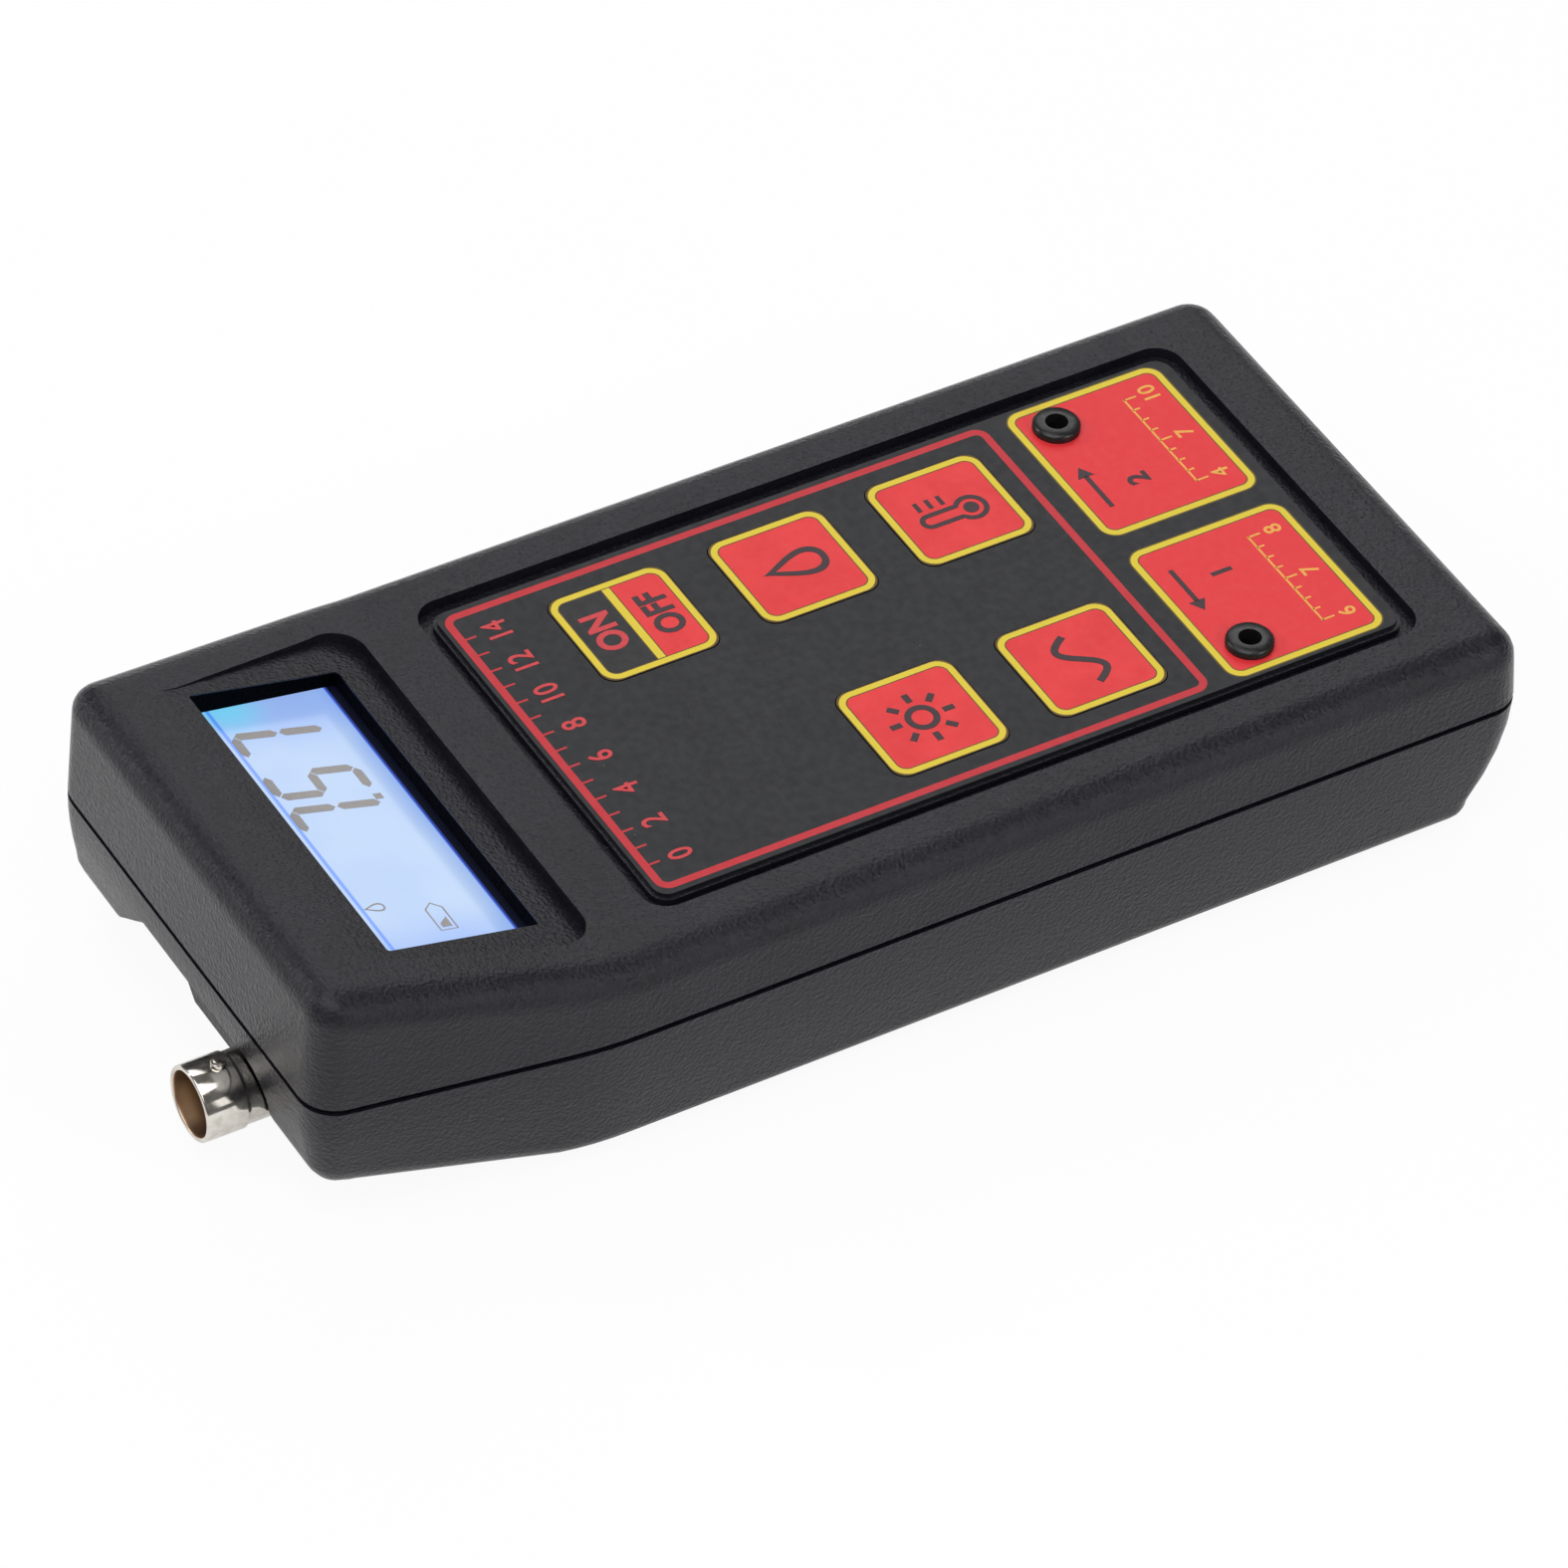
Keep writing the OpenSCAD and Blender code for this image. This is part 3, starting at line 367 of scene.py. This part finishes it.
FINISHES = {
    # the case's grain, with painted shade on the walls of the display's well
    "case_plastic": grained_plastic("case_grain_and_well_shade", (21, 21, 28), (29, 29, 37), 0.125),
    "overlay_film": printed_film("keypad_print"),
    "switch_black": moulded("switch_nylon", srgb(34, 34, 36), 0.45),
    "bush_rubber": moulded("bush_rubber_skin", srgb(26, 26, 28), 0.24, 0.25, 0.01),
    "trimmer_blue": moulded("trimmer_resin", srgb(40, 92, 176), 0.32),
    "brass": plated("turned_brass", srgb(212, 172, 92), 0.22),
    "display_glass": lit_display("display_light"),
    "white_plastic": moulded("white_resin", srgb(226, 226, 220), 0.45),
    "board_green": moulded("solder_mask", srgb(38, 104, 62), 0.3, 0.6, 0.02),
    "nickel": plated("nickel_plate", srgb(214, 210, 202), 0.16, 0.15),
    "zinc_steel": plated("zinc_plate", srgb(186, 188, 192), 0.3),
    "insulator": moulded("socket_resin", srgb(206, 190, 160), 0.4),
    "chip_black": moulded("chip_epoxy", srgb(30, 30, 32), 0.5, 0.2),
    "capacitor_blue": moulded("capacitor_sleeve", srgb(48, 66, 106), 0.3),
    "battery_jacket": moulded("battery_sleeve", srgb(40, 40, 46), 0.3),
    "red_wire": moulded("red_insulation", srgb(176, 40, 42), 0.4),
    "black_wire": moulded("black_insulation", srgb(28, 28, 30), 0.4),
}
for key_name, key_centre in KEYS.items():
    FINISHES[key_name] = printed_key(key_name + "_print", key_centre, key_name == "key_on_off")
RED_INK = ink("red_ink", srgb(206, 52, 60))
DARK_INK = ink("dark_ink", srgb(50, 26, 34))
YELLOW_INK = ink("yellow_ink", srgb(236, 170, 72))
SEGMENT_INK = ink("segment_ink", srgb(160, 156, 156), 0.03)


# Meshes
def add_piece(name, points, faces, finish, body, slot, smooth_deg=None):
    """A mesh object at the origin, its points in millimetres in the part's frame."""
    mesh = bpy.data.meshes.new(name)
    corners = [list(map(int, face)) for face in faces]
    mesh.from_pydata((np.asarray(points) * MM).tolist(), [], corners)
    mesh.update()
    if smooth_deg is not None:
        mesh.polygons.foreach_set("use_smooth", np.ones(len(mesh.polygons), bool))
        mesh.set_sharp_from_angle(angle=math.radians(smooth_deg))
    mesh.materials.append(finish)
    made = bpy.data.objects.new(name, mesh)
    bpy.context.scene.collection.objects.link(made)
    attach(made, body)
    return made


def welded(points, corners, steps_per_mm=2000):
    """Points at the same place made one, and the rows of point numbers that follow from it."""
    places = np.round(points * steps_per_mm).astype(np.int64)
    first, back = np.unique(places, axis=0, return_index=True, return_inverse=True)[1:]
    return points[first], back.ravel()[corners]


def merged(node):
    """Welded points in millimetres and triangles of a CAD node, less those that the weld closed
    up."""
    mesh = frame["nodes"][node].data
    points = np.empty(len(mesh.vertices) * 3)
    mesh.vertices.foreach_get("co", points)
    mesh.calc_loop_triangles()
    corners = np.empty(len(mesh.loop_triangles) * 3, int)
    mesh.loop_triangles.foreach_get("vertices", corners)
    points, corners = welded(points.reshape(-1, 3) / MM, corners.reshape(-1, 3))
    return points, corners[(corners != np.roll(corners, 1, axis=1)).all(axis=1)]


def moulding(name, node, finish, body, slot, smooth_deg):
    """A CAD node's own form with its facets shaded as the curves they follow: the larger faces set
    the shade."""
    points, corners = merged(node)
    made = add_piece(name, points, corners, finish, body, slot, smooth_deg)
    weights = made.modifiers.new("even_shading", "WEIGHTED_NORMAL")
    weights.keep_sharp = True
    weights.weight = 80
    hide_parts(node)
    return made


def grid_faces(rows, columns, closed_rows=False, closed_columns=True):
    """Quads of a grid of points, row by row, joined round where a direction is closed."""
    i = np.arange(rows if closed_rows else rows - 1)
    j = np.arange(columns if closed_columns else columns - 1)
    i, j = np.meshgrid(i, j, indexing="ij")
    i, j = i.ravel(), j.ravel()
    i1, j1 = (i + 1) % rows, (j + 1) % columns
    return np.stack([i * columns + j, i * columns + j1, i1 * columns + j1, i1 * columns + j], 1)


def turned(profile, axis_x, axis_z, sides=96):
    """A closed profile of (y, radius) turned about a line along Y:
    point = (axis_x + r cos a, y, axis_z + r sin a)."""
    y, r = np.asarray(profile, float).T
    a = np.arange(sides) * 2 * math.pi / sides
    x, z = axis_x + r[:, None] * np.cos(a), axis_z + r[:, None] * np.sin(a)
    points = np.stack([x, np.repeat(y[:, None], sides, 1), z], -1)
    return points.reshape(-1, 3), grid_faces(len(y), sides, closed_rows=True)[:, ::-1]


def strip(left, right, low, high, closed=False):
    """A flat strip between two heights and between a left and a right line of as many points."""
    rows = []
    for edge, z in ((left, low), (left, high), (right, high), (right, low)):
        rows.append(np.column_stack([edge, np.full(len(edge), z)]))
    n = len(left)
    faces = grid_faces(4, n, closed_rows=True, closed_columns=closed)[:, ::-1].tolist()
    if not closed:
        faces += [[3 * n, 2 * n, n, 0], [n - 1, 2 * n - 1, 3 * n - 1, 4 * n - 1]]
    return np.concatenate(rows), faces


def ribbon(path, width, low, high, closed=False):
    """A strip along a path in the XY plane: at each point its section runs from -width/2 to
    +width/2 along the path's normal."""
    p = np.asarray(path, float)
    if closed:
        along = np.roll(p, -1, 0) - np.roll(p, 1, 0)
    else:
        along = np.gradient(p, axis=0)
    along = along / np.linalg.norm(along, axis=1)[:, None]
    across = np.stack([along[:, 1], -along[:, 0]], 1) * width / 2
    return strip(p - across, p + across, low, high, closed)


def drop_ring(x, y, half_width, half_height, wall, low, high):
    """A pointed drop less a smaller one in it. With t from 0 at the tip, the outline of each is
    x = w sin t sin(t/2)^1.6 and y = h cos t."""
    t = np.arange(60) * 2 * math.pi / 60

    def outline(w, h, lift):
        from_axis = w * np.sin(t) * np.sin(t / 2) ** 1.6
        return np.column_stack([x + from_axis, y + lift + h * np.cos(t)])

    inner = outline(half_width - 1.45 * wall, half_height - 1.4 * wall, -0.4 * wall)
    return strip(outline(half_width, half_height, 0.0), inner, low, high, True)


def slab(outline, low, high):
    """A flat convex outline given thickness between two heights."""
    p = np.asarray(outline, float)
    x, y = p.T
    if np.sum(x * np.roll(y, -1) - np.roll(x, -1) * y) < 0:
        p = p[::-1]
    n = len(p)
    points = np.concatenate([np.column_stack([p, np.full(n, level)]) for level in (low, high)])
    faces = [list(range(n))[::-1], [n + k for k in range(n)]]
    faces += [[k, (k + 1) % n, n + (k + 1) % n, n + k] for k in range(n)]
    return points, faces


def joined(parts):
    """Several (points, faces) as one."""
    points, faces, base = [], [], 0
    for some_points, some_faces in parts:
        points.append(np.asarray(some_points, float))
        faces += [[base + int(k) for k in face] for face in some_faces]
        base += len(some_points)
    return np.concatenate(points), faces


def circle(cx, cy, r, start=0.0, end=360.0, count=40, whole=True):
    """Points round a circle, or along an arc of it where whole is false."""
    a = np.radians(np.linspace(start, end, count, endpoint=not whole))
    return np.column_stack([cx + r * np.cos(a), cy + r * np.sin(a)])


def lettering(words, size, centre, z, bolder=0.0, narrow=1.0):
    """Words in the built-in plain face as points and faces. Their height is the size, and their
    middle lies at the centre."""
    curve = bpy.data.curves.new("figures", "FONT")
    curve.body = words
    curve.extrude = 0.5
    curve.offset = bolder
    curve.resolution_u = 4
    holder = bpy.data.objects.new("figures", curve)
    bpy.context.scene.collection.objects.link(holder)
    graph = bpy.context.evaluated_depsgraph_get()
    mesh = bpy.data.meshes.new_from_object(holder.evaluated_get(graph))
    p = np.empty(len(mesh.vertices) * 3)
    mesh.vertices.foreach_get("co", p)
    p = p.reshape(-1, 3)
    mesh.calc_loop_triangles()
    corners = np.array([t.vertices[:] for t in mesh.loop_triangles])
    bpy.data.objects.remove(holder)
    bpy.data.meshes.remove(mesh)
    bpy.data.curves.remove(curve)
    low, high = p.min(0), p.max(0)
    scale = size / (high[1] - low[1])
    flat = (p[:, :2] - (low + high)[:2] / 2) * [scale * narrow, scale] + centre
    return welded(np.column_stack([flat, z + (p[:, 2] + 0.5) * INK]), corners)


# Case
CASE = FINISHES["case_plastic"]
moulding("front_moulding", "front_shell", CASE, "case", "case_plastic", 32)
moulding("back_moulding", "back_shell", CASE, "case", "case_plastic", 32)
moulding("door_moulding", "battery_door", CASE, "battery_door", "case_plastic", 32)
for side in ("slope", "standard"):
    moulding(side + "_ring", side + "_bush", FINISHES["bush_rubber"], "case", "bush_rubber", 50)


# Probe socket
def socket_barrel():
    """Turned barrel: a rolled rim, a thin wall, a step behind the lugs and a flange at the wall,
    closed along its inside."""
    rim, wall = SOCKET_RIM_Y, SOCKET_WALL_Y
    outer, inner, neck, flange, root, bore = 4.825, 4.175, 4.575, 4.95, 3.2, 1.9
    turn = np.linspace(0, math.pi, 9)
    roll = [(rim - 0.25 + 0.25 * math.sin(t), 4.5 + 0.325 * math.cos(t)) for t in turn]
    profile = [
        (wall - 5.4, bore),
        (wall - 5.4, root),
        (wall, root),
        (wall, flange - 0.1),
        (wall + 0.15, flange),
        (wall + 0.75, flange),
        (wall + 0.9, flange - 0.1),
        (wall + 0.9, neck),
        (rim - 5.9, neck),
        (rim - 5.75, neck + 0.02),
        (rim - 5.45, outer - 0.02),
        (rim - 5.3, outer),
        *roll,
        (rim - 0.6, inner),
        (wall + 2.0, inner),
        (wall + 2.0, bore),
    ]
    return turned(profile, SOCKET_X, SOCKET_Z)


def lug(sign, sides=32):
    """A pin standing out of the barrel, with a small dome at its end: a ring of each radius at its
    height from the barrel's axis."""
    rings = ((4.4, 0.95), (5.2, 0.95), (5.38, 0.86), (5.46, 0.62), (5.5, 0.3))
    points = []
    for height, radius in rings:
        ring = circle(SOCKET_X, SOCKET_RIM_Y - 3.8, radius, count=sides)
        points.append(np.column_stack([ring, np.full(sides, SOCKET_Z + sign * height)]))
    last = (len(rings) - 1) * sides
    faces = grid_faces(len(rings), sides).tolist()
    faces += [list(range(sides))[::-1], list(range(last, last + sides))]
    if sign < 0:
        faces = [face[::-1] for face in faces]
    return np.concatenate(points), faces


socket_parts = joined([socket_barrel(), lug(1), lug(-1)])
socket_nickel = socket_metal("socket_nickel")
barrel = add_piece("socket_barrel", *socket_parts, socket_nickel, "case", "nickel", 40)
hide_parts("socket_shell")


# Print
def print_piece(name, parts, finish, body, slot):
    """The marks of one print as one piece."""
    return add_piece(name, *joined(parts), finish, body, slot)


def arrow(x0, x1, y, low, high):
    """A straight arrow along X: a bar and a triangular head that ends at x1."""
    sign = math.copysign(1.0, x1 - x0)
    head = [(x1 - sign * 1.9, y - 1.15), (x1, y), (x1 - sign * 1.9, y + 1.15)]
    return [ribbon([(x0, y), (x1 - sign * 1.8, y)], 0.65, low, high), slab(head, low, high)]


def film_line(ends):
    """A thin straight line on the film."""
    return ribbon(ends, THIN_LINE, FILM_Z, FILM_Z + INK)


scale_numbers = [
    lettering(str(n), 3.2, (n * SCALE_PITCH - SCALE_END, 28.2), FILM_Z, 0.014, 0.82)
    for n in range(0, 15, 2)
]
print_piece("title_numbers", scale_numbers, RED_INK, "case", "overlay_film")

panel_marks = []
for sign, digit, middle in ((-1, "1", -10.0), (1, "2", 10.0)):
    panel_marks.append(lettering(digit, 2.9, (middle - sign * 0.4, -55.0), FILM_Z, 0.035))
    start, end = middle - sign * 3.4, middle + sign * 4.6
    panel_marks += arrow(start, end, -49.5, FILM_Z, FILM_Z + INK)
print_piece("panel_numbers", panel_marks, DARK_INK, "case", "overlay_film")

panel_scales = []
for middle, numbers in ((-PANEL_X, ("6", "7", "8")), (PANEL_X, ("4", "7", "10"))):
    left = middle - PANEL_SCALE_END
    for k, number in enumerate(numbers):
        place = (left + PANEL_SCALE_END * k, -64.7)
        panel_scales.append(lettering(number, 2.3, place, FILM_Z, 0.014))
    for k in range(9):
        x, tall = left + PANEL_SCALE_END / 4 * k, 1.7 if k % 4 == 0 else 1.0
        panel_scales.append(film_line([(x, PANEL_ROW_Y), (x, PANEL_ROW_Y - tall)]))
    reach = PANEL_SCALE_END + THIN_LINE / 2
    ends = [(middle - reach, PANEL_ROW_Y), (middle + reach, PANEL_ROW_Y)]
    panel_scales.append(film_line(ends))
print_piece("panel_scales", panel_scales, YELLOW_INK, "case", "overlay_film")


# Signs on the keys
def key_sign(key_name, word, parts, finish):
    """A sign that moves with its key."""
    print_piece(word, parts, finish, key_name, "key_film")


def key_line(path, width, closed=False):
    """A line of a key's sign."""
    return ribbon(path, width, KEY_Z, KEY_Z + INK, closed)


x0, y0 = KEYS["key_on_off"]
on_letters = lettering("ON", 4.0, (x0 + 0.2, y0 + 3.75), KEY_Z, 0.035, 0.85)
off_letters = lettering("OFF", 4.0, (x0 + 0.2, y0 - 3.95), KEY_Z, 0.035, 0.85)
key_sign("key_on_off", "on_word", [on_letters], RED_INK)
key_sign("key_on_off", "off_word", [off_letters], DARK_INK)

x0, y0 = KEYS["key_light"]
sun = [key_line(circle(x0, y0, 1.75), 0.85, True)]
for angle in np.arange(8) * math.pi / 4:
    c, s = math.cos(angle), math.sin(angle)
    sun.append(key_line([(x0 + r * c, y0 + r * s) for r in (2.9, 4.4)], 0.85))
key_sign("key_light", "sun_sign", sun, DARK_INK)

x0, y0 = KEYS["key_ph"]
ring = drop_ring(x0, y0 - 0.3, 3.55, 4.45, 0.9, KEY_Z, KEY_Z + INK)
key_sign("key_ph", "drop_sign", [ring], DARK_INK)

x0, y0 = KEYS["key_millivolt"]
t = np.linspace(-1.0, 1.0, 49)
wave = np.column_stack([x0 + 4.4 * t, y0 + 2.2 * np.sin(t * math.pi)])
key_sign("key_millivolt", "wave_sign", [key_line(wave, 0.95)], DARK_INK)

x0, y0 = KEYS["key_celsius"]
tube_x, tube_top, tube_bulb = x0 - 0.8, y0 + 3.2, y0 - 2.6
tube_end = circle(tube_x, tube_top, 1.0, 0, 180, 14, False)
bulb_end = circle(tube_x, tube_bulb, 1.9, 122, 418, 30, False)
thermometer = [
    key_line(np.concatenate([tube_end, bulb_end]), 0.7, True),
    slab(circle(tube_x, tube_bulb, 1.0, count=24), KEY_Z, KEY_Z + INK),
]
for height in (0.2, 1.8, 3.4):
    thermometer.append(key_line([(x0 + 1.2, y0 + height), (x0 + 2.9, y0 + height)], 0.6))
key_sign("key_celsius", "thermometer_sign", thermometer, DARK_INK)


# Display figures
def segment(ends, width):
    """One bar of a figure: a hexagon pointed at both ends."""
    a, b = np.asarray(ends, float)
    along = (b - a) / np.linalg.norm(b - a)
    side = np.array([-along[1], along[0]]) * width / 2
    tip = along * width / 2
    return [a, a + tip - side, b - tip - side, b, b - tip + side, a + tip + side]


def figure(bars, centre, width=4.0, height=12.0, lean=0.07, gap=0.12, stroke=1.25):
    """A display figure: its bars run between the corners and side middles of a leaning box, each
    end drawn in by a gap."""
    w, h = width / 2, height / 2
    bar_ends = {
        "a": ((-w, h), (w, h)),
        "b": ((w, h), (w, 0)),
        "c": ((w, 0), (w, -h)),
        "d": ((-w, -h), (w, -h)),
        "f": ((-w, 0), (-w, h)),
        "g": ((-w, 0), (w, 0)),
    }
    made = []
    for bar in bars:
        ends = np.array(bar_ends[bar], float)
        step = (ends[1] - ends[0]) / np.linalg.norm(ends[1] - ends[0]) * gap
        outline = np.array(segment([ends[0] + step, ends[1] - step], stroke))
        outline[:, 0] += outline[:, 1] * lean
        made.append(slab(outline + centre, 0.0, INK))
    return made


def on_display(points):
    """From the plane of the display, x across and y up its slope, to the part's frame."""
    p = np.asarray(points, float)
    c, s = math.cos(RECESS_TILT), math.sin(RECESS_TILT)
    up, out = p[:, 1], p[:, 2] - GLASS_DEPTH
    y, z = RECESS_ORIGIN[1] + up * c - out * s, RECESS_ORIGIN[2] + up * s + out * c
    return np.column_stack([p[:, 0], y, z])


reading = figure("abc", (2.7, 10.5)) + figure("afgcd", (9.4, 10.5)) + figure("abc", (17.1, 10.5))
point = [(4.8, 3.8), (5.8, 3.8), (5.8, 4.9), (4.8, 4.9)]
cell = [(-19.2, 7.3), (-15.3, 7.3), (-14.3, 8.45), (-15.3, 9.6), (-19.2, 9.6)]
charge = [(-18.7, 7.8), (-17.0, 7.8), (-18.0, 9.1), (-18.7, 9.1)]
reading.append(slab(point, 0.0, INK))
reading.append(ribbon(cell, 0.22, 0.0, INK, True))
reading.append(slab(charge, 0.0, INK))
reading.append(drop_ring(-13.5, 15.6, 1.07, 1.47, 0.24, 0.0, INK))
marks, mark_faces = joined(reading)
add_piece("display_figures", on_display(marks), mark_faces, SEGMENT_INK, "case", "display_glass")

# Finishes of the nodes that keep their own mesh
for entry in frame["record"]["subparts"]:
    node = frame["nodes"][entry["node"]]
    finish = FINISHES.get(entry["node"], FINISHES.get(entry["material_slot"]))
    node.data.materials.clear()
    node.data.materials.append(finish)

# Floor, light and camera
SHOWING_RAYS = ("Is Camera Ray", "Is Glossy Ray", "Is Transmission Ray")


def seen_directly(f):
    """1 for the rays that show the floor itself, a half for those that show it mirrored, and 0 for
    those by which it lights the object."""
    camera, glossy, through = [f.node("ShaderNodeLightPath", out=ray) for ray in SHOWING_RAYS]
    return camera.larger(glossy * 0.5).larger(through)


def pale_floor():
    """A white sheet that keeps the object's shadow: diffuse, with white of its own where it is seen
    directly."""
    f = Finish("pale_floor")
    shade = f.mix(f.noise(60.0, 3.0).rise(0.2, 0.8), srgb(249, 249, 249), srgb(254, 254, 254))
    cloth = f.node("ShaderNodeBsdfDiffuse", None, {"Color": shade})
    glow = f.node("ShaderNodeEmission", None, {"Color": (1, 1, 1, 1), "Strength": 1.0})
    mixed = f.node("ShaderNodeMixShader", None, {0: seen_directly(f) * 0.93, 1: cloth, 2: glow})
    f.node("ShaderNodeOutputMaterial", None, {"Surface": mixed})
    return f.material


FLOOR_HALF, FLOOR_Z = 3.0, -0.0003
floor_signs = ((-1, -1), (1, -1), (1, 1), (-1, 1))
floor_corners = [(x * FLOOR_HALF, y * FLOOR_HALF, FLOOR_Z) for x, y in floor_signs]
floor_mesh = bpy.data.meshes.new("floor_sheet")
floor_mesh.from_pydata(floor_corners, [], [(0, 1, 2, 3)])
floor_mesh.materials.append(pale_floor())
floor = bpy.data.objects.new("floor_sheet", floor_mesh)
bpy.context.scene.collection.objects.link(floor)

world = bpy.data.worlds.new("soft_room")
bpy.context.scene.world = world
world.use_nodes = True
sky = world.node_tree.nodes["Background"].inputs
sky["Color"].default_value = (1, 1, 1, 1)
sky["Strength"].default_value = 0.15


def softbox(name, place, aim, width, height, power):
    """A plain area lamp that faces a point."""
    lamp = bpy.data.lights.new(name, "AREA")
    lamp.shape = "RECTANGLE"
    lamp.size, lamp.size_y = width, height
    lamp.energy = power
    made = bpy.data.objects.new(name, lamp)
    made.location = place
    made.rotation_mode = "QUATERNION"
    made.rotation_quaternion = (Vector(aim) - Vector(place)).to_track_quat("-Z", "Y")
    bpy.context.scene.collection.objects.link(made)


softbox("back_softbox", (0.73, -0.48, 0.82), (0, 0, 0), 1.0, 0.8, 4.0)
softbox("front_softbox", (-0.27, 0.47, 1.22), (0, 0, 0.02), 1.4, 1.4, 12.8)
softbox("side_softbox", (-0.86, -0.44, 0.42), (0, 0, 0.02), 0.7, 0.4, 1.0)
softbox("end_softbox", (0.66, 0.78, 0.38), (0, 0, 0.02), 0.7, 0.4, 0.7)
softbox("side_glint", (-0.80, -0.42, 0.56), (0, 0, 0.02), 0.08, 0.08, 1.3)
softbox("end_glint", (0.66, 0.68, 0.5), (0, 0, 0.02), 0.08, 0.08, 1.3)

camera_data = bpy.data.cameras.new("photo_camera")
camera_data.sensor_width = 36.0
camera_data.lens = 228.57
camera_data.clip_start, camera_data.clip_end = 0.05, 20.0
camera = bpy.data.objects.new("photo_camera", camera_data)
camera.matrix_world = Matrix(
    (
        (-0.5075, 0.60665, -0.6119, -0.73767),
        (-0.86033, -0.31739, 0.39887, 0.48082),
        (0.04776, 0.72886, 0.68299, 0.83249),
        (0, 0, 0, 1),
    )
)
bpy.context.scene.collection.objects.link(camera)
bpy.context.scene.camera = camera
bpy.context.scene.view_settings.view_transform = "Standard"
